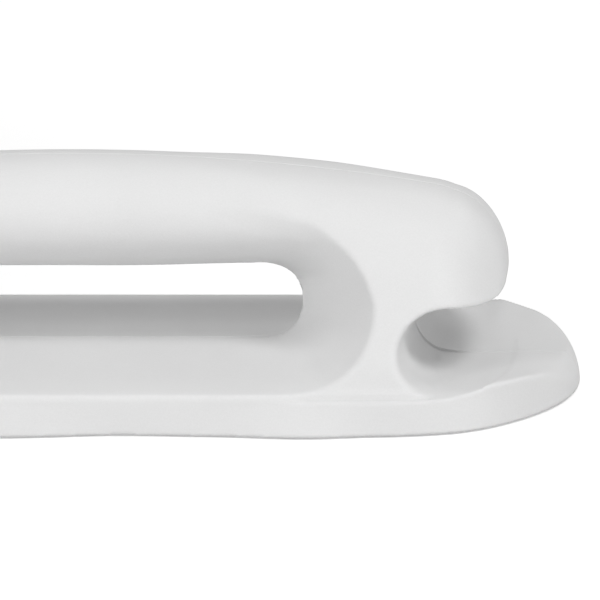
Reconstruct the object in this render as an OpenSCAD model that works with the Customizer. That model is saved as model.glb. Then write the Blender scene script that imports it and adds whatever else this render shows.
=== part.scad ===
// Oval bedpan with a separate seat ring, a lift-off lid and a two-half grip handle.
// +Z is up and +X runs from the pan along the handle. The origin is on the ground,
// under the centre of the pan. The handle halves meet on the parting plane, Y = 0.

/* [Pan] */
// Outer half length of the pan wall at its top, along X
pan_half_l = 134; // [126:1:138]
// Outer half width of the pan wall at its top, along Y
pan_half_w = 118; // [100:1:120]
// Height of the pan to the underside of the seat ring
pan_h = 84; // [76:1:90]
// Wall thickness of the pan
pan_wall = 3; // [2:0.5:4]

/* [Seat ring] */
// Height of the seat ring above the pan
seat_h = 12; // [10:1:15]
// Half length of the opening in the seat ring
seat_open_l = 92; // [80:1:98]
// Half width of the opening in the seat ring
seat_open_w = 74; // [64:1:80]

/* [Lid] */
// Rise of the lid dome above its edge
lid_rise = 12; // [8:1:16]
// Wall thickness of the lid
lid_wall = 2.5; // [2:0.5:3.5]

/* [Handle] */
// Half width of the foot flange of the handle
foot_half_w = 40.6; // [36:0.2:44]
// Height of the foot flange
foot_h = 8; // [7:0.2:9]
// Height of the top of the grip bar
grip_top = 52; // [50:0.5:54]
// Half depth of the grip bar
grip_half_d = 19.5; // [17:0.5:21]
// Half height of the finger slot on the parting plane
slot_r = 9.1; // [8:0.1:10]
// Height of the centre line of the finger slot
slot_z = 19.2; // [18.5:0.1:20]
// Half height of the finger slot where it opens at the side faces
slot_flare_r = 17.4; // [14:0.2:18]
// Radius of the hanging notch on the parting plane
notch_r = 7.9; // [7:0.1:8.5]
// Radius of the hanging notch at the side faces
notch_flare_r = 10; // [9:0.1:11]
// Wall thickness of the handle halves
handle_wall = 3; // [2.5:0.5:4]

/* [Pins] */
// Diameter of the cross pins that hold the handle to the pan bracket
pin_d = 6; // [5:0.5:7]
// Diameter of the dowels that locate the two handle halves
dowel_d = 4; // [3:0.5:5]

/* [Hidden] */

plastic = [0.89, 0.89, 0.885];
sliver = 0.02;         // thickness of hull sections, and overshoot of some cuts
gap = 0.35;            // clearance between mating mouldings
seat_gap = 0.05;       // between pan and seat ring
parting_gap = 0.02;    // between the handle halves
hole_clearance = 0.1;  // added to the diameter of a pin or dowel
hole_extra = 0.2;      // added to the length of a pin or dowel

// Half sizes in plan, as [along X, along Y]
pan_half = [pan_half_l, pan_half_w];
seat_open = [seat_open_l, seat_open_w];

seat_z = pan_h + seat_gap;
lid_z = pan_h + seat_h + gap;

rim_width = 8;         // turned-out edge of the pan
rim_h = 3.5;
bracket_inset = 24;    // start of the bracket, inside the pan end
bracket_l = 41;
bracket_half_w = 8;
bracket_z = 12;
bracket_h = 32;

lip_gap = 2;           // between seat opening and lid lip
lip_wall = 2.5;
lip_drop = 5;
stem_r = 4;            // lid grip where it passes through the lid
stem_gap = 0.1;        // around the stem, and between lid grip and lid

handle_x = 100;        // start of the foot and of the bracket pocket
tip_x = 331;           // tip of the foot
foot_end_x = tip_x - foot_half_w;  // centre of the rounded end of the foot
past_side = 60;        // a width beyond the side faces of the handle
pocket_end_x = 151;    // end of the bracket pocket, before clearance
nose_x = 316;          // end of the nose above the notch
slot_x0 = 172;         // centre of the pan end of the slot
slot_x1 = 261.7;       // centre of the tip end of the slot
notch_x = 303.5;       // centre of the hanging notch
notch_z = 15.5;

pin_l = 32;
bracket_hole_l = 24;
dowel_l = 12;
// Places on the parting plane, as [x, z]
pins = [[141, 20], [141, 37]];
dowels = [[308, 34.5], [289, 18], [323.5, 3.9], [153, 46.5]];

// Boxes whose hull is the near half above the foot. They reach from Y = 0 to -depth.
// Columns: x, length, depth, z, height
grip_boxes = [
    [112, 186, 39, foot_h - 0.5, 1],
    [112, 198, 36, foot_h + 8, 1],
    [116, nose_x - 120, grip_half_d, 36, 4],
    [nose_x - 12, 12, 12, 17, 15],
    [124, 120, 12, grip_top - 5, 2],
    [124, 110, 6, grip_top - 1, 1],
    [230, 66, 8, 46, 1]
];

// ---- Shared shapes ----

// Flat oval from its half sizes, grown on every side, with its underside at z
module oval_slab(half, z, h = sliver, grow = 0, sides = 64) {
    translate([0, 0, z]) linear_extrude(h) polygon([
        for (i = [0 : sides - 1])
            [(half[0] + grow) * cos(i * 360 / sides), (half[1] + grow) * sin(i * 360 / sides)]
    ]);
}

// Outer form of the pan wall, with its foot at z
module pan_form(grow = 0, z = 0) {
    hull() {
        oval_slab(pan_half - [34, 33], z, grow = grow);
        oval_slab(pan_half - [24, 23], z + 4, grow = grow);
        oval_slab(pan_half - [17, 16], z + 14, grow = grow);
        oval_slab(pan_half, pan_h - sliver, grow = grow);
    }
}

// Cylinders centred across the parting plane
module cross_cylinders(places, d, length) {
    for (place = places)
        translate([place[0], length / 2, place[1]])
            rotate([90, 0, 0]) cylinder(d = d, h = length, $fn = 48);
}

// ---- Pan, seat ring and lid ----

module pan_hollow() {
    hull() {
        oval_slab(pan_half - [40, 39], pan_wall);
        oval_slab(pan_half - [27, 26], pan_wall + 5);
        oval_slab(pan_half - [20, 19], pan_wall + 14);
        oval_slab(pan_half, pan_h + sliver, grow = -pan_wall);
    }
}

module pan_bowl() {
    color(plastic) difference() {
        union() {
            pan_form();
            // turned-out edge that carries the seat ring
            oval_slab(pan_half, pan_h - rim_h, rim_h, rim_width, 96);
            // bracket that the handle closes around
            translate([pan_half_l - bracket_inset, -bracket_half_w, bracket_z])
                cube([bracket_l, 2 * bracket_half_w, bracket_h]);
        }
        pan_hollow();
        cross_cylinders(pins, pin_d + hole_clearance, bracket_hole_l);
    }
}

module seat_ring() {
    widest_z = seat_z + seat_h * 0.45;  // also where the opening is narrowest
    color(plastic) difference() {
        hull() {
            oval_slab(pan_half, seat_z, grow = 9, sides = 72);
            oval_slab(pan_half, widest_z, grow = 11, sides = 72);
            oval_slab(pan_half, seat_z + seat_h - sliver, grow = 2, sides = 72);
        }
        hull() {
            oval_slab(seat_open, seat_z - sliver, grow = 12, sides = 72);
            oval_slab(seat_open, widest_z, sides = 72);
            oval_slab(seat_open, seat_z + seat_h + sliver, grow = 3, sides = 72);
        }
    }
}

module lid() {
    lip_inset = lip_gap + lip_wall;
    color(plastic) difference() {
        union() {
            // dome
            hull() {
                oval_slab(pan_half, lid_z, 2, 3);
                oval_slab(pan_half, lid_z + lid_rise * 0.55, grow = -6);
                oval_slab(pan_half - [50, 46], lid_z + lid_rise - sliver);
            }
            // lip that drops into the seat opening
            difference() {
                oval_slab(seat_open, lid_z - lip_drop, lip_drop + 1, -lip_gap, 72);
                oval_slab(seat_open, lid_z - lip_drop - 1, lip_drop + 3, -lip_inset, 72);
            }
        }
        // hollow under the dome
        hull() {
            oval_slab(seat_open, lid_z - sliver, 1, -lip_inset);
            oval_slab(pan_half - [56, 52], lid_z + lid_rise - lid_wall);
        }
        // hole for the stem of the lid grip
        translate([0, 0, lid_z + 1])
            cylinder(d = 2 * (stem_r + stem_gap), h = lid_rise + 4, $fn = 64);
    }
}

// Turned knob. Its profile points are [radius, height above the top of the lid].
module lid_grip() {
    head_r = 6.5;
    head_h = 2.5;
    head = [
        [0, -lid_wall - head_h],
        [head_r, -lid_wall - head_h],
        [head_r, -lid_wall - stem_gap]
    ];
    stem = [[stem_r, -lid_wall - stem_gap], [stem_r, stem_gap]];
    base = [[13, stem_gap], [13, 2], [11, 5], [10.5, 9]];
    knob = [for (a = [0 : 10 : 90]) [12 + 5 * cos(a - 10), 15 + 6 * sin(a)]];
    top = [[0, 21.5]];
    color(plastic) translate([0, 0, lid_z + lid_rise])
        rotate_extrude($fn = 96) polygon(concat(head, stem, base, knob, top));
}

// ---- Handle ----

// Plan of the foot flange, near half only
module foot_plan() {
    intersection() {
        union() {
            translate([handle_x, -foot_half_w])
                square([foot_end_x - handle_x, 2 * foot_half_w]);
            translate([foot_end_x, 0]) circle(foot_half_w, $fn = 96);
        }
        translate([90, -past_side]) square([260, past_side]);
    }
}

module grip_form() {
    hull() for (b = grip_boxes)
        translate([b[0], -b[2], b[3]]) cube([b[1], b[2], b[4]]);
}

// Thin slot outline with round ends, its +Y face at y
module slot_slab(x0, x1, y, z, r) {
    translate([0, y, 0]) rotate([90, 0, 0]) linear_extrude(sliver) {
        for (x = [x0, x1]) translate([x, z]) circle(r, $fn = 40);
        translate([x0, z - r]) square([x1 - x0, 2 * r]);
    }
}

// Finger slot, flared towards the side face
module finger_slot() {
    hull() {
        slot_slab(slot_x0, slot_x1, 1, slot_z, slot_r);
        slot_slab(slot_x0 - 6, slot_x1 + 9, -foot_half_w - 2, slot_z + 6.2, slot_flare_r);
    }
}

// Hanging notch, open at the tip
module hanging_notch() {
    floor_z = foot_h - 0.2;
    translate([notch_x, 0.5, notch_z]) rotate([90, 0, 0])
        cylinder(r1 = notch_r, r2 = notch_flare_r, h = foot_half_w + 2, $fn = 96);
    translate([notch_x, -past_side, floor_z])
        cube([60, past_side + 1, notch_z + notch_r - floor_z]);
}

module bracket_pocket() {
    translate([handle_x, -bracket_half_w - gap, bracket_z - gap])
        cube([pocket_end_x - handle_x + gap, bracket_half_w + 1 + gap, bracket_h + 2 * gap]);
}

// Near half, on the -Y side
module handle_half() {
    difference() {
        union() {
            linear_extrude(foot_h) foot_plan();
            grip_form();
        }
        finger_slot();
        hanging_notch();
        // hollow of the grip bar, cut from 7 beyond the parting plane
        translate([162, 7 - grip_half_d + handle_wall, 34.5])
            cube([100, grip_half_d - handle_wall, 10.5]);
        // hollow of the tip column
        translate([283, -14, 12]) cube([8.5, 15, 22]);
        bracket_pocket();
        cross_cylinders(pins, pin_d + hole_clearance, pin_l + hole_extra);
        cross_cylinders(dowels, dowel_d + hole_clearance, dowel_l + hole_extra);
        // the wall of the pan
        pan_form(gap, -sliver);
    }
}

module handle_near_half() {
    color(plastic) handle_half();
}

module handle_far_half() {
    color(plastic) translate([0, parting_gap, 0]) mirror([0, 1, 0]) handle_half();
}

module bracket_pins() {
    color("silver") cross_cylinders(pins, pin_d, pin_l);
}

module handle_dowels() {
    color("silver") cross_cylinders(dowels, dowel_d, dowel_l);
}

pan_bowl();
seat_ring();
lid();
lid_grip();
handle_near_half();
handle_far_half();
bracket_pins();
handle_dowels();
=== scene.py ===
"""Oval bedpan with a seat ring, a lift-off lid and a moulded grip handle.

The pan is centred on the origin and stands on z = 0, its length along x. The handle's tip points
to +x; its near (y < 0) and far (y > 0) halves part on y = 0. The handle is meshed from a smooth
implicit form on its own scale; the pan, ring, lid and grip are lofted shells. Everything is
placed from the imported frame's boxes.
"""
import bpy
import bmesh
import math
import numpy as np
from mathutils import Matrix, Vector


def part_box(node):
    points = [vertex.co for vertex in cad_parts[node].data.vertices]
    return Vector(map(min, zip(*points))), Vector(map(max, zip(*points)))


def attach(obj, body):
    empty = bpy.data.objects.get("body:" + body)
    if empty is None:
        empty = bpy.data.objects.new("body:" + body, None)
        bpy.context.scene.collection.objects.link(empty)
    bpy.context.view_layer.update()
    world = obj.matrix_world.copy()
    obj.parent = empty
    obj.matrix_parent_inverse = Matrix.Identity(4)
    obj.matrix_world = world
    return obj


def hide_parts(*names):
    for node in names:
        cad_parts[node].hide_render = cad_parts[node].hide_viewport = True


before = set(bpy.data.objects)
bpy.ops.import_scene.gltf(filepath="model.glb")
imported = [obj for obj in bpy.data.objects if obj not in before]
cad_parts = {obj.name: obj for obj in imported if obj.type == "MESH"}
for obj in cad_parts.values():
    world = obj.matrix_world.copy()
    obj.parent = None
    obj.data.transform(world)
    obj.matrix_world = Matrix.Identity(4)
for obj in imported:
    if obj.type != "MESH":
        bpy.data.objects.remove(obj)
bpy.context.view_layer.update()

HANDLE_LO, HANDLE_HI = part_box("handle_near_half")
_, PAN_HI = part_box("pan_bowl")
RING_LO, RING_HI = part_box("seat_ring")
LID_LO, LID_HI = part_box("lid")
GRIP_LO, GRIP_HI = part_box("lid_grip")

# The handle's form is drawn in handle units, a fixed share of the handle's height.
HANDLE_HEIGHT = 239.2              # handle units
TIP_X = 578.7                      # the tip of the foot, in handle units
UNIT = (HANDLE_HI[2] - HANDLE_LO[2]) / HANDLE_HEIGHT
ORIGIN_X = HANDLE_HI[0] - TIP_X * UNIT

# Outer wall of the pan, in metres: (height, half length, half width)
PAN_WALL = [
    (0.000, 0.0985, 0.0835), (0.004, 0.1085, 0.0935), (0.014, 0.1162, 0.1012),
    (0.049, 0.1252, 0.1098), (0.084, 0.1332, 0.1172),
]
PAN_GAP = 0.0012                   # metres between the pan's wall and the handle


# ---------------------------------------------------------------- field tools
def clamp01(v):
    return np.minimum(np.maximum(v, 0.0), 1.0)


def ease(start, end, v):
    """Smooth step from 0 at start to 1 at end."""
    share = clamp01((v - start) / (end - start))
    return share * share * (3 - 2 * share)


def fade(start, end, v):
    return 1.0 - ease(start, end, v)


def smooth_min(first, second, blend):
    overlap = np.maximum(blend - np.abs(first - second), 0.0) / blend
    return np.minimum(first, second) - overlap * overlap * blend * 0.25


def smooth_max(first, second, blend):
    return -smooth_min(-first, -second, blend)


def oval_distance(x, y, half_length, half_width):
    """Approximate signed distance to an ellipse."""
    radius = np.sqrt((x / half_length) ** 2 + (y / half_width) ** 2) + 1e-9
    slope = np.sqrt((x / (half_length * half_length)) ** 2 + (y / (half_width * half_width)) ** 2)
    return (radius - 1.0) / (slope / radius + 1e-9)


def soft_curve(v, knots, softness):
    """Curve through (position, value) knots, averaged over softness either way."""
    positions, values = zip(*knots)
    taps = ((-1.0, 0.12), (-0.5, 0.23), (0.0, 0.30), (0.5, 0.23), (1.0, 0.12))
    return sum(weight * np.interp(v + offset * softness, positions, values)
               for offset, weight in taps)


# ---------------------------------------------------------------- the handle's form
# In this section x, y and z are in handle units, depth is |y|, and a field is negative inside.
MIDDLE_X = 50.0                    # the finger slot is mirrored about this x
START_X = -484.0                   # the -x end of the handle
NOSE_X = 436.0                     # where the nose starts to round off
NOSE_LENGTH = 73.2
NOSE_TAPER = 1.71                  # how fast the side face closes round the nose
FACE_REACH = 211.4                 # depth of the sloped side face on the ground
FACE_SLOPE = 0.675
FOOT_HALF_WIDTH = 187.0
FOOT_END_X = 392.0                 # centre of the foot's round end
NOTCH_X = 452.5                    # axis of the notch

# waves of the foot's lower edge: (height, x, width)
FOOT_WAVES = ((6.0, 0.0, 70.0), (-4.0, 130.0, 50.0), (9.0, 310.0, 60.0), (5.0, 480.0, 42.0))
# rim round the dished tongue: (x, height above the flange)
RIM_KNOTS = (
    (438.0, 0.0), (455.0, 4.0), (468.0, 6.5), (484.0, 8.0), (494.0, 9.0), (505.0, 9.5),
    (530.0, 9.5), (541.0, 8.0), (551.0, 5.0), (560.0, 0.5), (569.0, -7.5), (582.0, -20.0),
)


def foot_wave(x):
    """Slight waviness of the foot's lower edge, added to its half width on the ground."""
    wave = 3.0 * fade(400.0, 520.0, x)
    for height, centre, width in FOOT_WAVES:
        wave = wave + height * np.exp(-((x - centre) / width) ** 2)
    return wave


def top_line(x):
    """Height of the top of the bar on the parting plane."""
    x = np.where(x < -20.0, -20.0 - 50.0 * np.tanh((-20.0 - x) / 50.0), x)
    return 239.9 - 33.8 * (np.abs(x - 70.0) / 379.0) ** 2


def flare(depth, z):
    """How far, 0 to about 1, a point lies between the parting plane and the side face."""
    return smooth_min(depth / np.clip(FACE_REACH - FACE_SLOPE * z, 62.0, 182.0), 1.05, 0.12)


def slot_end(x, depth, z, softness):
    """The finger slot with its flared round end, as a void.

    softness = 0 gives a straight flare; 1 rounds the upper part like the underside of the bar.
    """
    spread = flare(depth, z)
    start_x = 260.0 + 38.0 * spread
    mid_z = 88.4 + 26.6 * spread
    reach = np.maximum(x - start_x, 0.0) / (42.0 + 42.5 * spread)
    capped = np.minimum(spread, 1.0)
    bow = (1.0 - np.sqrt(1.0 - 0.970 * capped * capped)) / 0.827 * ease(190.0, 285.0, x)
    lift = capped + (bow - capped) * (1.0 - clamp01(reach) ** 2) * softness
    height = (131.5 + 67.0 * lift - mid_z
              + 0.36 * (1.0 - softness) * spread * np.maximum(start_x - x, 0.0))
    power = 2.0 - 0.45 * spread * ease(0.0, 0.5, reach)
    above = np.maximum(z - mid_z, 0.0) / height
    below = np.maximum(mid_z - z, 0.0) / (42.0 + 35.0 * spread)
    upper = (reach ** power + above ** power + 1e-9) ** (1.0 / power)
    lower = np.sqrt(reach * reach + below * below + 1e-9)
    radius = np.where(z > mid_z, upper, lower)
    distance = np.sqrt((x - start_x).clip(0, None) ** 2 + (z - mid_z) ** 2 + 1e-6)
    return distance - distance / np.maximum(radius, 1e-4)


def grip_bar(x, depth, z, mirror_x, nose_run, top_z):
    """Oval bar along the top; its underside gets sharper towards the slot's flared ends."""
    low_z = 127.4 + 6.3 * ease(110.0, 290.0, mirror_x) - 75.0 * ease(320.0, 450.0, x)
    mid_z = (top_z + low_z) * 0.5
    half_height = (top_z - low_z) * 0.5
    half_depth = 76.0 + 2.0 * ease(150.0, 420.0, x)
    rise = np.abs(z - mid_z) / half_height
    side = np.sqrt(depth * depth + (nose_run * half_depth / NOSE_LENGTH) ** 2) / half_depth
    radius = np.sqrt(rise ** 2 + side ** 2 + 1e-12)
    slope = (np.sqrt((rise / half_height) ** 2 + (side / half_depth) ** 2)
             / np.maximum(np.sqrt(rise * rise + side * side), 1e-6) + 1e-9)
    slot = smooth_max(slot_end(mirror_x, depth, z, 1.0), 236.0 - mirror_x, 30.0)
    return smooth_max((radius - 1.0) / slope, -slot, 6.0 + 4.0 * clamp01(depth / 60.0))


def column(x, depth, z, mirror_x, nose_run, top_z, upright, nose):
    """Sloped side face, its upright lower part and the shoulder under the bar's top."""
    nose_depth = np.sqrt(depth * depth + (NOSE_TAPER * nose_run) ** 2)
    face = ((nose_depth - FACE_REACH + FACE_SLOPE * z) * 0.829
            + 42.0 * fade(165.0, 294.0, mirror_x) * ease(70.0, 150.0, z))
    shoulder = (z + 0.54 * nose_depth - (top_z + 15.0)) * 0.88
    shoulder = smooth_max(shoulder, z - (top_z - 16.0), 16.0)
    solid = smooth_max(smooth_max(face, upright, 16.0), shoulder, 24.0)
    solid = smooth_max(solid, nose, 8.0)
    slab = np.abs(x - MIDDLE_X) - (210.0 + 40.0 * flare(depth, z))
    slot = smooth_max(slot_end(mirror_x, depth, z, 0.0), slab - 100.0, 6.0)
    return smooth_max(solid, -slot, 6.0)


def notch(x, depth, z, near):
    """The bore of the notch, its mouth towards the tip, its flat floor and its plan outline.

    The bore is bell-mouthed and slightly recessed on the near side.
    """
    bell = np.where(near, np.maximum(depth - 100.0, 0.0) / 60.0, 0.0)
    radius = 37.5 + 3.0 * np.minimum(depth / 120.0, 1.0)
    radius_x = radius + 6.5 * np.minimum(bell, 1.4) ** 2
    radius_z = radius + np.where(near, 9.0, 3.0) * np.clip((depth - 135.0) / 50.0, 0.0, 1.1) ** 2
    mid_z = 71.5 + np.where(near, 7.5, 5.5) * np.minimum(depth / 150.0, 1.25) ** 2
    power = 4.0 - 1.4 * ease(445.0, 468.0, x)
    plan = (np.abs(x - 445.0) / 70.0) ** power + (depth / 179.0) ** power
    recess = np.where(near, 0.3 + 0.8 * ease(30.0, 130.0, depth), 0.3) * fade(0.93, 1.07, plan)
    radius_top = radius_z - 4.6 * ease(40.0, 110.0, depth)
    half_height = np.where(z > mid_z, radius_top, radius_z)
    oval = np.sqrt(((x - NOTCH_X) / radius_x) ** 2 + ((z - mid_z) / half_height) ** 2 + 1e-6)
    bore = (oval - 1.0) * radius_z - recess
    mouth = smooth_max(z - (mid_z + radius_top), NOTCH_X - x, 4.0)
    return bore, mouth, mid_z - radius_z - recess, plan


def foot_flange(x, depth, z, near, plan_radius, bore, mouth, floor_z, plan):
    """Foot flange with a rounded tongue, dished along the middle and cut by the notch."""
    low_edge = 0.5 * (1.0 - z / 34.0 + np.sqrt((1.0 - z / 34.0) ** 2 + 0.02))
    side = plan_radius - FOOT_HALF_WIDTH - foot_wave(x) * low_edge + 2.0 * z / 36.0
    end_run = np.maximum(x - FOOT_END_X, 0.0)
    half_width = np.sqrt(np.maximum(FOOT_HALF_WIDTH ** 2 - end_run ** 2, 900.0))
    dish = 1.0 - np.minimum(depth / half_width, 1.0) ** 2
    rim = soft_curve(x, RIM_KNOTS, 6.0)
    rim = rim + np.where(near, 0.0, 3.0 * ease(440.0, 474.0, x) * fade(478.0, 520.0, x))
    top_z = (37.5 - 3.2 * ease(270.0, 310.0, x) - 1.3 * ease(500.0, 582.0, x)
             + rim * (1.0 - dish * fade(560.0, 580.0, x)))
    edge = 2.2 + 3.0 * ease(440.0, 540.0, x) + 2.0 * ease(540.0, 578.0, x)
    foot = smooth_max(side, z - top_z, edge)
    cut_z = (floor_z + (top_z - 0.9 - floor_z) * ease(NOTCH_X, 512.0, x)
             + 3.0 * ease(0.94, 1.08, plan))
    cut_z = cut_z + np.where(
        near, 0.0, 2.0 * ease(20.0, 90.0, depth) * ease(470.0, 500.0, x))
    cut = smooth_min(bore, smooth_max(mouth, cut_z - z, 2.0), 0.8)
    return smooth_max(foot, -cut, 1.5)


def handle(x, y, z):
    """Signed field of the whole handle."""
    depth = np.abs(y)
    near = y < 0
    mirror_x = MIDDLE_X + np.abs(x - MIDDLE_X)
    nose_run = np.maximum(x - NOSE_X, 0.0)
    top_z = top_line(np.minimum(x, 456.0))
    crown = np.maximum(z - 125.0, 0.0) / (top_z - 122.0)
    nose = (np.sqrt((nose_run / NOSE_LENGTH) ** 2 + crown ** 2 + 1e-9) - 1.0) * 68.0
    plan_radius = np.sqrt(np.maximum(x - FOOT_END_X, 0.0) ** 2 + depth * depth)
    upright = plan_radius - (FOOT_HALF_WIDTH - 3.5 - 6.0 * ease(285.0, 325.0, x))

    bar = grip_bar(x, depth, z, mirror_x, nose_run, top_z)
    post = column(x, depth, z, mirror_x, nose_run, top_z, upright, nose)
    body = smooth_max(smooth_min(bar, post, 26.0), nose + 1.0, 5.0)

    # slot floor, highest on the parting plane
    floor = smooth_max(upright, z - (46.5 - 0.041 * depth), 5.0)
    floor = smooth_max(floor, x - 440.0, 10.0)
    body = smooth_min(body, floor, 10.0)

    bore, mouth, floor_z, plan = notch(x, depth, z, near)
    cut = smooth_min(bore, smooth_max(mouth, 20.0 - z, 4.0), 0.8)
    body = smooth_max(body, -cut, 6.0)
    foot = foot_flange(x, depth, z, near, plan_radius, bore, mouth, floor_z, plan)
    body = smooth_min(body, foot, 1.2)
    body = smooth_max(body, -z, 3.0)

    # clear of the pan's wall, which is given in metres
    heights, lengths, widths = zip(*PAN_WALL)
    pan_length = np.interp(z * UNIT, heights, lengths) + PAN_GAP
    pan_width = np.interp(z * UNIT, heights, widths) + PAN_GAP
    pan = oval_distance(ORIGIN_X + x * UNIT, y * UNIT, pan_length, pan_width) / UNIT
    return smooth_max(smooth_max(body, -pan, 3.0), START_X - x, 2.0)


# ---------------------------------------------------------------- meshing a field
BLOCK = 4                          # cells along the side of a coarse block
BAND = 2.6                         # blocks this near the surface, in block sides, are refined
CORNERS = [(i, j, k) for i in (0, 1) for j in (0, 1) for k in (0, 1)]


def corner_view(grid, corner):
    """The grid's values at one corner of every cell."""
    return grid[tuple(slice(c, size - 1 + c) for c, size in zip(corner, grid.shape))]


def sample_near_surface(field, axes, cell):
    """Field on the grid: exact near the surface, one value per block elsewhere."""
    middles = [axis[::BLOCK][:-1] + cell * BLOCK * 0.5 for axis in axes]
    coarse = field(*np.meshgrid(*middles, indexing="ij"))
    near = np.abs(coarse) < BAND * cell * BLOCK
    for axis in range(3):
        coarse = np.repeat(coarse, BLOCK, axis)
        near = np.repeat(near, BLOCK, axis)
    values = np.full([len(axis) for axis in axes], 1e3)
    corner_view(values, (0, 0, 0))[...] = coarse
    mask = np.zeros(values.shape, bool)
    for corner in CORNERS:
        view = corner_view(mask, corner)
        view |= near
    spots = np.nonzero(mask)
    values[spots] = field(*(axes[i][spots[i]] for i in range(3)))
    return values


def surface_nets(field, low, high, cell):
    """Quad mesh of field = 0 in the box low..high, with one vertex in each crossed cell."""
    blocks = [math.ceil(math.ceil((high[i] - low[i]) / cell) / BLOCK) for i in range(3)]
    axes = [low[i] + cell * np.arange(blocks[i] * BLOCK + 1) for i in range(3)]
    values = sample_near_surface(field, axes, cell)
    inside = values < 0

    corner_count = np.zeros([size - 1 for size in values.shape], np.int8)
    for corner in CORNERS:
        corner_count += corner_view(inside, corner)
    active = np.nonzero((corner_count > 0) & (corner_count < 8))
    total = len(active[0])
    vertex_ids = np.full(corner_count.shape, -1, np.int64)
    vertex_ids[active] = np.arange(total)

    # each vertex is the mean of the crossings on its cell's edges
    corner_values = {c: corner_view(values, c)[active] for c in CORNERS}
    crossing_sum = np.zeros((total, 3))
    crossings = np.zeros(total)
    for corner in CORNERS:
        for axis in range(3):
            if corner[axis]:
                continue
            other = corner[:axis] + (1,) + corner[axis + 1:]
            start, end = corner_values[corner], corner_values[other]
            crossed = (start < 0) != (end < 0)
            point = np.tile(np.array(corner, float), (total, 1))
            point[:, axis] += np.where(crossed, start / np.where(crossed, start - end, 1.0), 0.0)
            crossing_sum += point * crossed[:, None]
            crossings += crossed
    offsets = crossing_sum / crossings[:, None]
    points = np.stack([axes[i][active[i]] + cell * offsets[:, i] for i in range(3)], 1)

    # one quad round each crossed grid edge
    quads = []
    for axis in range(3):
        sides = ((axis + 1) % 3, (axis + 2) % 3)
        lower = np.delete(inside, -1, axis)
        edges = np.nonzero(lower != np.delete(inside, 0, axis))
        keep = np.ones(len(edges[0]), bool)
        for side in sides:
            keep &= (edges[side] > 0) & (edges[side] < values.shape[side] - 1)
        edges = tuple(index[keep] for index in edges)
        ring = []
        for steps in ((1, 1), (0, 1), (0, 0), (1, 0)):
            spot = list(edges)
            for side, step in zip(sides, steps):
                spot[side] = spot[side] - step
            ring.append(vertex_ids[tuple(spot)])
        quad = np.stack(ring, 1)
        flip = ~lower[edges]
        quad[flip] = quad[flip][:, ::-1]
        quads.append(quad)
    quads = np.concatenate(quads)
    return points, quads[(quads >= 0).all(1)]


def settle(field, points, cell):
    """Moves points onto field = 0."""
    reach = cell * 0.25
    for _ in range(4):
        value = field(*points.T)
        slope = np.stack([(field(*(points + offset).T) - field(*(points - offset).T)) / (2 * reach)
                          for offset in reach * np.eye(3)], 1)
        steepness = np.maximum((slope * slope).sum(1), 0.04)
        step = -(value / steepness)[:, None] * slope
        length = np.sqrt((step * step).sum(1)) + 1e-9
        step *= np.minimum(1.0, 0.6 * cell / length)[:, None]
        points = points + step
    return points


def shade_smooth(mesh):
    mesh.polygons.foreach_set("use_smooth", [True] * len(mesh.polygons))


def mesh_object(name, points, faces):
    mesh = bpy.data.meshes.new(name)
    mesh.from_pydata([tuple(p) for p in points], [], [tuple(int(i) for i in f) for f in faces])
    mesh.validate()
    mesh.update()
    shade_smooth(mesh)
    made = bpy.data.objects.new(name, mesh)
    bpy.context.scene.collection.objects.link(made)
    return made


# ---------------------------------------------------------------- the handle halves
VEE_Y = 0.00024                    # half width of the fine vee along the split, metres
GAP_Y = 0.00085                    # half width of the wider gap
EDGE_Y = 0.0011                    # where the wider gap's sides start


def gap_share(point):
    """How far, 0 to 1, the split opens: at the notch and, less, at the slot's +x end."""
    x = (point.x - ORIGIN_X) / UNIT
    z = point.z / UNIT
    return float(ease(396.0, 412.0, x) * fade(448.0, 482.0, x)
                 * ease(24.0, 32.0, z) * fade(98.0, 108.0, z)
                 + 0.55 * ease(222.0, 262.0, x) * fade(330.0, 345.0, x)
                 * ease(36.0, 42.0, z) * fade(98.0, 116.0, z))


def cut_plane(bm, y, **options):
    bmesh.ops.bisect_plane(bm, geom=bm.verts[:] + bm.edges[:] + bm.faces[:], dist=1e-7,
                           plane_co=(0, y, 0), plane_no=(0, 1, 0), **options)


def open_vee(bm):
    """Sinks the surface along the split, with the wider gap where gap_share asks for it."""
    bm.normal_update()
    moves = []
    for v in bm.verts:
        on_split = abs(v.co.y) < 1e-6
        if on_split or abs(v.co.y + VEE_Y) < 1e-6 or abs(v.co.y + GAP_Y) < 1e-6:
            outward = Vector((v.normal.x, 0, v.normal.z))
            if outward.length > 1e-6:
                gap = gap_share(v.co)
                if on_split:
                    moves.append((v, outward.normalized() * (0.00030 + 0.00060 * gap)))
                elif gap > 0:
                    moves.append((v, outward.normalized() * 0.00080 * gap))
    for v, move in moves:
        v.co -= move


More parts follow.
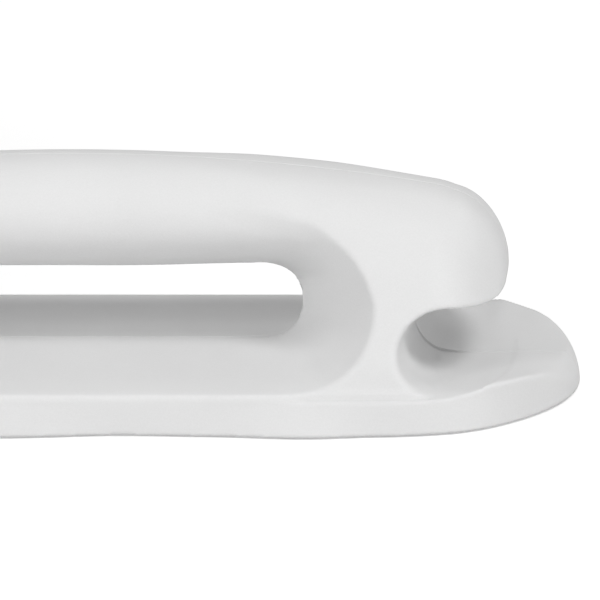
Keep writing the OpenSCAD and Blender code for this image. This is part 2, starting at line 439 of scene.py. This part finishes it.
def build_half(name, side):
    """One half of the handle. side is -1 for the near half (y < 0) and +1 for the far half.

    Both are meshed on the -y side; the far half is then mirrored.
    """
    cell = 2.9

    def field(x, y, z):
        return handle(x, y * -side, z)

    points, quads = surface_nets(field, (-500.0, -230.0, -9.0), (600.0, 3 * cell, 256.0), cell)
    points = settle(field, points, cell)
    points = np.stack([ORIGIN_X + points[:, 0] * UNIT, points[:, 1] * UNIT,
                       points[:, 2] * UNIT], 1)
    half = mesh_object(name, points, quads)
    bm = bmesh.new()
    bm.from_mesh(half.data)
    for distance in (EDGE_Y, GAP_Y, VEE_Y):
        cut_plane(bm, -distance)
    cut_plane(bm, 0, clear_outer=True)
    open_vee(bm)
    boundary = [e for e in bm.edges if e.is_boundary]
    bmesh.ops.triangle_fill(bm, use_beauty=False, use_dissolve=False, edges=boundary,
                            normal=(0, 1, 0))
    if side > 0:
        for v in bm.verts:
            v.co.y = -v.co.y
    bmesh.ops.recalc_face_normals(bm, faces=bm.faces[:])
    # keep the rim of the parting face sharp
    for e in bm.edges:
        if len(e.link_faces) == 2 and all(abs(v.co.y) < 1e-6 for v in e.verts):
            if e.link_faces[0].normal.dot(e.link_faces[1].normal) < 0.8:
                e.smooth = False
    bm.to_mesh(half.data)
    bm.free()
    shade_smooth(half.data)
    return half


# ---------------------------------------------------------------- lofted shells
OVAL_POINTS = 144
OVAL_POWER = 2.12                  # a little squarer than an ellipse
GRIP_POINTS = 72
SPLINE_STEPS = 4


def oval_ring(half_length, half_width, z, count=OVAL_POINTS, power=OVAL_POWER):
    ring = []
    for i in range(count):
        angle = 2 * math.pi * i / count
        x, y = math.cos(angle), math.sin(angle)
        scale = (abs(x) ** power + abs(y) ** power) ** (-1.0 / power)
        ring.append((half_length * x * scale, half_width * y * scale, z))
    return ring


def spline(knots):
    """Open Catmull-Rom curve through the knots."""
    knots = [np.array(knot, float) for knot in knots]
    knots = [2 * knots[0] - knots[1]] + knots + [2 * knots[-1] - knots[-2]]
    curve = []
    for before, start, end, after in zip(knots, knots[1:], knots[2:], knots[3:]):
        for i in range(SPLINE_STEPS):
            t = i / SPLINE_STEPS
            curve.append(0.5 * (2 * start + (end - before) * t
                                + (2 * before - 5 * start + 4 * end - after) * t * t
                                + (3 * start - before - 3 * end + after) * t ** 3))
    curve.append(knots[-2])
    return curve


def loft(name, rings, closed):
    """Skins the rings with quads; the last joins the first if closed, else both ends are capped."""
    count = len(rings[0])
    faces = []
    for i in range(len(rings) if closed else len(rings) - 1):
        j = (i + 1) % len(rings)
        for k in range(count):
            l = (k + 1) % count
            faces.append((i * count + k, i * count + l, j * count + l, j * count + k))
    if not closed:
        last = (len(rings) - 1) * count
        faces.append(tuple(range(count))[::-1])
        faces.append(tuple(range(last, last + count)))
    shell = mesh_object(name, [point for ring in rings for point in ring], faces)
    bm = bmesh.new()
    bm.from_mesh(shell.data)
    bmesh.ops.remove_doubles(bm, verts=bm.verts[:], dist=1e-6)
    bmesh.ops.recalc_face_normals(bm, faces=bm.faces[:])
    bm.to_mesh(shell.data)
    bm.free()
    shade_smooth(shell.data)
    subdivision = shell.modifiers.new("sub", "SUBSURF")
    subdivision.levels = subdivision.render_levels = 1
    return shell


# Profile columns below: half length, half width, z.
def build_pan():
    """Up the outside, over the turned-out edge and down the inside."""
    top = PAN_HI[2]
    profile = [
        (0.001, 0.001, 0.0030), (0.060, 0.050, 0.0022), (0.088, 0.074, 0.0006),
        (0.0985, 0.0835, 0.0004), (0.1085, 0.0935, 0.0042), (0.1150, 0.1000, 0.0120),
        (0.1198, 0.1046, 0.028), (0.1250, 0.1095, 0.048), (0.1300, 0.1142, 0.068),
        (0.1325, 0.1166, top - 0.0055), (0.1345, 0.1186, top - 0.0042),
        (0.1400, 0.1240, top - 0.0038), (0.1416, 0.1256, top - 0.0020),
        (0.1410, 0.1250, top - 0.0003), (0.1370, 0.1210, top - 0.0001),
        (0.1310, 0.1150, top - 0.0004), (0.1298, 0.1138, top - 0.004),
        (0.1270, 0.1112, 0.066), (0.1215, 0.1060, 0.045), (0.1165, 0.1012, 0.027),
        (0.1110, 0.0960, 0.0135), (0.1030, 0.0880, 0.0062), (0.088, 0.074, 0.0040),
        (0.060, 0.050, 0.0048), (0.001, 0.001, 0.0055),
    ]
    return loft("pan_shell", [oval_ring(*point) for point in spline(profile)], closed=False)


def build_ring():
    """Up the outer edge, in over the top, round the hole's edge and out underneath."""
    base, top = RING_LO[2], RING_HI[2]
    long, wide = RING_HI[0], RING_HI[1]
    hole_long, hole_wide = 0.092, 0.074
    profile = [
        (long - 0.010, wide - 0.010, base + 0.0002),
        (long - 0.0035, wide - 0.0035, base + 0.0004),
        (long - 0.0008, wide - 0.0008, base + 0.0030),
        (long - 0.0006, wide - 0.0006, base + 0.0060),
        (long - 0.0040, wide - 0.0040, base + 0.0100),
        (long - 0.0110, wide - 0.0110, top - 0.0002),
        (long - 0.0230, wide - 0.0220, top - 0.0004),
        (long - 0.0370, wide - 0.0350, top - 0.0012),
        (hole_long + 0.0055, hole_wide + 0.0055, top - 0.0022),
        (hole_long + 0.0012, hole_wide + 0.0012, top - 0.0048),
        (hole_long + 0.0010, hole_wide + 0.0010, top - 0.0078),
        (hole_long + 0.0045, hole_wide + 0.0045, top - 0.0098),
        (hole_long + 0.0140, hole_wide + 0.0135, base + 0.0020),
        (hole_long + 0.0240, hole_wide + 0.0230, base + 0.0008),
        (long - 0.0200, wide - 0.0200, base + 0.0002),
    ]
    curve = spline(profile + [profile[0]])[:-1]
    return loft("seat_ring_shell", [oval_ring(*point) for point in curve], closed=True)


def build_lid():
    """Out underneath, round the hanging lip and the rim, and back over the top."""
    base, top = LID_LO[2] + 0.005, LID_HI[2]
    long, wide = LID_HI[0], LID_HI[1]
    lip_long, lip_wide = 0.090, 0.072
    hole = 0.0042                  # radius of the hole for the grip's stem
    profile = [
        (hole, hole, top - 0.0026), (0.040, 0.035, top - 0.0032), (0.070, 0.059, top - 0.0050),
        (lip_long - 0.0060, lip_wide - 0.0055, top - 0.0072),
        (lip_long - 0.0035, lip_wide - 0.0035, base),
        (lip_long - 0.0025, lip_wide - 0.0025, base - 0.0045),
        (lip_long - 0.0010, lip_wide - 0.0010, base - 0.0049),
        (lip_long, lip_wide, base - 0.0040),
        (lip_long + 0.0008, lip_wide + 0.0008, base + 0.0002),
        (lip_long + 0.0100, lip_wide + 0.0100, base + 0.0006),
        (long - 0.012, wide - 0.012, base + 0.0006),
        (long - 0.0016, wide - 0.0016, base + 0.0001),
        (long - 0.0002, wide - 0.0002, base + 0.0011),
        (long - 0.0014, wide - 0.0014, base + 0.0026),
        (long - 0.0080, wide - 0.0080, base + 0.0036),
        (long - 0.0105, wide - 0.0105, base + 0.0052),
        (long - 0.0200, wide - 0.0190, base + 0.0072),
        (long - 0.045, wide - 0.041, top - 0.0022),
        (0.060, 0.052, top - 0.0006), (0.030, 0.027, top - 0.0001), (hole, hole, top),
    ]
    # round at the hole, squarer further out
    rings = [oval_ring(*point, power=2.0 + 0.12 * min(1.0, point[0] / 0.05))
             for point in spline(profile)]
    return loft("lid_shell", rings, closed=True)


def build_grip():
    """Foot under the lid, stem through it, waisted knob above."""
    base, top = GRIP_LO[2], GRIP_HI[2]
    lid_top = LID_HI[2]
    knob = GRIP_HI[0]
    # (radius, z)
    profile = [
        (0.0005, base + 0.0002), (0.0058, base + 0.0002), (0.0064, base + 0.0010),
        (0.0060, lid_top - 0.0027), (0.0041, lid_top - 0.0026), (0.0040, lid_top + 0.0001),
        (0.0128, lid_top + 0.0002), (0.0132, lid_top + 0.0010), (0.0122, lid_top + 0.0026),
        (0.0108, lid_top + 0.0056), (0.0106, lid_top + 0.0090), (0.0122, lid_top + 0.0122),
        (knob - 0.0012, lid_top + 0.0140), (knob - 0.0002, lid_top + 0.0158),
        (knob - 0.0010, lid_top + 0.0178), (0.0122, lid_top + 0.0198),
        (0.0070, top - 0.0006), (0.0030, top - 0.0010), (0.0005, top - 0.0011),
    ]
    rings = [oval_ring(radius, radius, z, GRIP_POINTS, 2.0) for radius, z in spline(profile)]
    return loft("lid_grip_knob", rings, closed=False)


# ---------------------------------------------------------------- materials
def set_inputs(tree, node, inputs):
    """Sets each named input to a value, or links it if given a socket."""
    for key, value in inputs.items():
        if isinstance(value, bpy.types.NodeSocket):
            tree.links.new(value, node.inputs[key])
        else:
            node.inputs[key].default_value = value


def add_node(tree, kind, inputs, output=0, operation=None):
    """Adds a shader node and returns one of its outputs."""
    node = tree.nodes.new("ShaderNode" + kind)
    if operation:
        node.operation = operation
    set_inputs(tree, node, inputs)
    return node.outputs[output]


def noise(tree, vector, scale, detail):
    return add_node(tree, "TexNoise", {"Vector": vector, "Scale": scale, "Detail": detail})


def map_range(tree, value, low, high, from_low=0.0, from_high=1.0):
    return add_node(tree, "MapRange", {"Value": value, "From Min": from_low,
                                       "From Max": from_high, "To Min": low, "To Max": high})


def add_values(tree, first, second):
    return add_node(tree, "Math", {0: first, 1: second}, operation="ADD")


def grey(tree, value):
    return add_node(tree, "CombineColor", {0: value, 1: value, 2: value})


def bump(tree, height, strength, distance):
    return add_node(tree, "Bump", {"Height": height, "Strength": strength, "Distance": distance})


def new_material(name):
    material = bpy.data.materials.new(name)
    material.use_nodes = True
    return material, material.node_tree, material.node_tree.nodes["Principled BSDF"]


def plastic(name):
    """Matte pale plastic, slightly clouded and speckled, with painted highlights on edges and
    painted shade in hollows.
    """
    tone, variation = 0.80, 0.012
    material, tree, shader = new_material(name)
    place = add_node(tree, "TexCoord", {}, output="Object")
    cloud = noise(tree, place, scale=38.0, detail=4.0)
    speck = noise(tree, place, scale=2600.0, detail=2.0)
    clouded = map_range(tree, cloud, tone - variation, tone + variation, 0.3, 0.7)
    speckled = map_range(tree, speck, -variation, variation, 0.3, 0.7)
    shade = add_values(tree, clouded, speckled)
    # painted light and shade: the base colour is lighter on convex edges (painted highlight) and
    # darker in hollows (painted shade)
    pointiness = add_node(tree, "NewGeometry", {}, output="Pointiness")
    edges = map_range(tree, pointiness, -0.02, 0.02, 0.44, 0.56)
    fine = noise(tree, place, scale=1500.0, detail=3.0)
    set_inputs(tree, shader, {
        "Base Color": grey(tree, add_values(tree, shade, edges)),
        "Roughness": map_range(tree, cloud, 0.50, 0.62),
        "Specular IOR Level": 0.28,
        "Normal": bump(tree, fine, strength=0.10, distance=0.0002),
    })
    return material


def steel(name):
    """Steel with a fine grain drawn out along y."""
    material, tree, shader = new_material(name)
    place = add_node(tree, "TexCoord", {}, output="Object")
    stretched = add_node(tree, "Mapping", {"Vector": place, "Scale": (900, 60, 900)})
    grain = noise(tree, stretched, scale=1.0, detail=3.0)
    set_inputs(tree, shader, {
        "Metallic": 1.0,
        "Base Color": grey(tree, map_range(tree, grain, 0.50, 0.66)),
        "Roughness": map_range(tree, grain, 0.28, 0.42),
        "Normal": bump(tree, grain, strength=0.08, distance=0.0001),
    })
    return material


def floor_material(name):
    """Pale matte floor, lifted towards white for the camera only."""
    material, tree, shader = new_material(name)
    seen = add_node(tree, "LightPath", {}, output="Is Camera Ray")
    set_inputs(tree, shader, {
        "Base Color": (0.82, 0.82, 0.82, 1),
        "Roughness": 0.9,
        "Specular IOR Level": 0.1,
        "Emission Color": (1, 1, 1, 1),
        "Emission Strength": add_node(tree, "Math", {0: seen, 1: 0.42}, operation="MULTIPLY"),
    })
    return material


# ---------------------------------------------------------------- floor, light, camera
VIEW_X = ORIGIN_X + 300 * UNIT
VIEW_Z = 86.9 * UNIT
VIEW_WIDTH = 600 * UNIT
VIEW_DISTANCE = 6.0
SENSOR_WIDTH = 36.0
LIGHT_DISTANCE = 1.9
# name, azimuth from -y (+ towards +x) and elevation in degrees, size in metres, power in watts
SOFTBOXES = (
    ("key_right", 45.0, 50.0, 0.5, 14.2),
    ("key_left", -42.0, 28.0, 0.5, 8.8),
    ("fill_low", 58.0, 14.0, 0.9, 1.7),
    ("back", 180.0, 60.0, 0.9, 2.7),
)


def build_floor(scene):
    material = floor_material("pale_floor")
    bm = bmesh.new()
    bmesh.ops.create_grid(bm, x_segments=8, y_segments=8, size=14)
    mesh = bpy.data.meshes.new("floor")
    bm.to_mesh(mesh)
    bm.free()
    floor = bpy.data.objects.new("floor", mesh)
    floor.location = (0, 0, -0.0003)
    mesh.materials.append(material)
    scene.collection.objects.link(floor)


def set_world(scene):
    """White behind the floor, soft fill on the object."""
    world = scene.world or bpy.data.worlds.new("studio")
    scene.world = world
    world.use_nodes = True
    tree = world.node_tree
    seen = add_node(tree, "LightPath", {}, output="Is Camera Ray")
    strength = add_node(tree, "Math", {0: seen, 1: 0.60, 2: 0.372}, operation="MULTIPLY_ADD")
    set_inputs(tree, tree.nodes["Background"], {"Color": (1, 1, 1, 1), "Strength": strength})


def add_softbox(scene, name, azimuth, elevation, size, power):
    turn, tilt = math.radians(azimuth), math.radians(elevation)
    aim = Vector((VIEW_X - 0.03, 0, 0.03))
    away = Vector((math.sin(turn) * math.cos(tilt), -math.cos(turn) * math.cos(tilt),
                   math.sin(tilt)))
    place = aim + away * LIGHT_DISTANCE
    light = bpy.data.lights.new(name, "AREA")
    light.energy = power
    light.size = size
    softbox = bpy.data.objects.new(name, light)
    softbox.location = place
    softbox.rotation_euler = (aim - place).to_track_quat("-Z", "Y").to_euler()
    scene.collection.objects.link(softbox)


def add_camera(scene):
    turn, tilt = math.radians(3.4), math.radians(16.0)
    forward = Vector((-math.sin(turn) * math.cos(tilt), math.cos(turn) * math.cos(tilt),
                      -math.sin(tilt)))
    right = (Vector((1, 0, 0)) - forward * forward.x).normalized()
    up = right.cross(forward).normalized()
    lens = bpy.data.cameras.new("camera")
    camera = bpy.data.objects.new("camera", lens)
    scene.collection.objects.link(camera)
    lens.sensor_width = SENSOR_WIDTH
    lens.lens = SENSOR_WIDTH * VIEW_DISTANCE / VIEW_WIDTH
    lens.clip_start = 0.1
    lens.clip_end = 60.0
    pose = Matrix((right, up, -forward)).transposed().to_4x4()
    pose.translation = Vector((VIEW_X, 0, VIEW_Z)) - forward * VIEW_DISTANCE
    camera.matrix_world = pose
    scene.camera = camera


# ---------------------------------------------------------------- build
moulding = plastic("matte_moulding")
pin_steel = steel("pin_steel")

# shell, the body it rides on, the CAD node it replaces
SHELLS = (
    (build_half("handle_near_shell", -1), "pan", "handle_near_half"),
    (build_half("handle_far_shell", 1), "pan", "handle_far_half"),
    (build_pan(), "pan", "pan_bowl"),
    (build_ring(), "pan", "seat_ring"),
    (build_lid(), "lid", "lid"),
    (build_grip(), "lid", "lid_grip"),
)
for shell, _, _ in SHELLS:
    shell.data.materials.append(moulding)
for pins in ("bracket_pins", "handle_dowels"):
    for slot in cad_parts[pins].material_slots:
        slot.material = pin_steel
for shell, body, node in SHELLS:
    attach(shell, body)
    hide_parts(node)

scene = bpy.context.scene
build_floor(scene)
set_world(scene)
for softbox in SOFTBOXES:
    add_softbox(scene, *softbox)
add_camera(scene)
scene.view_settings.view_transform = "Standard"
scene.view_settings.look = "None"
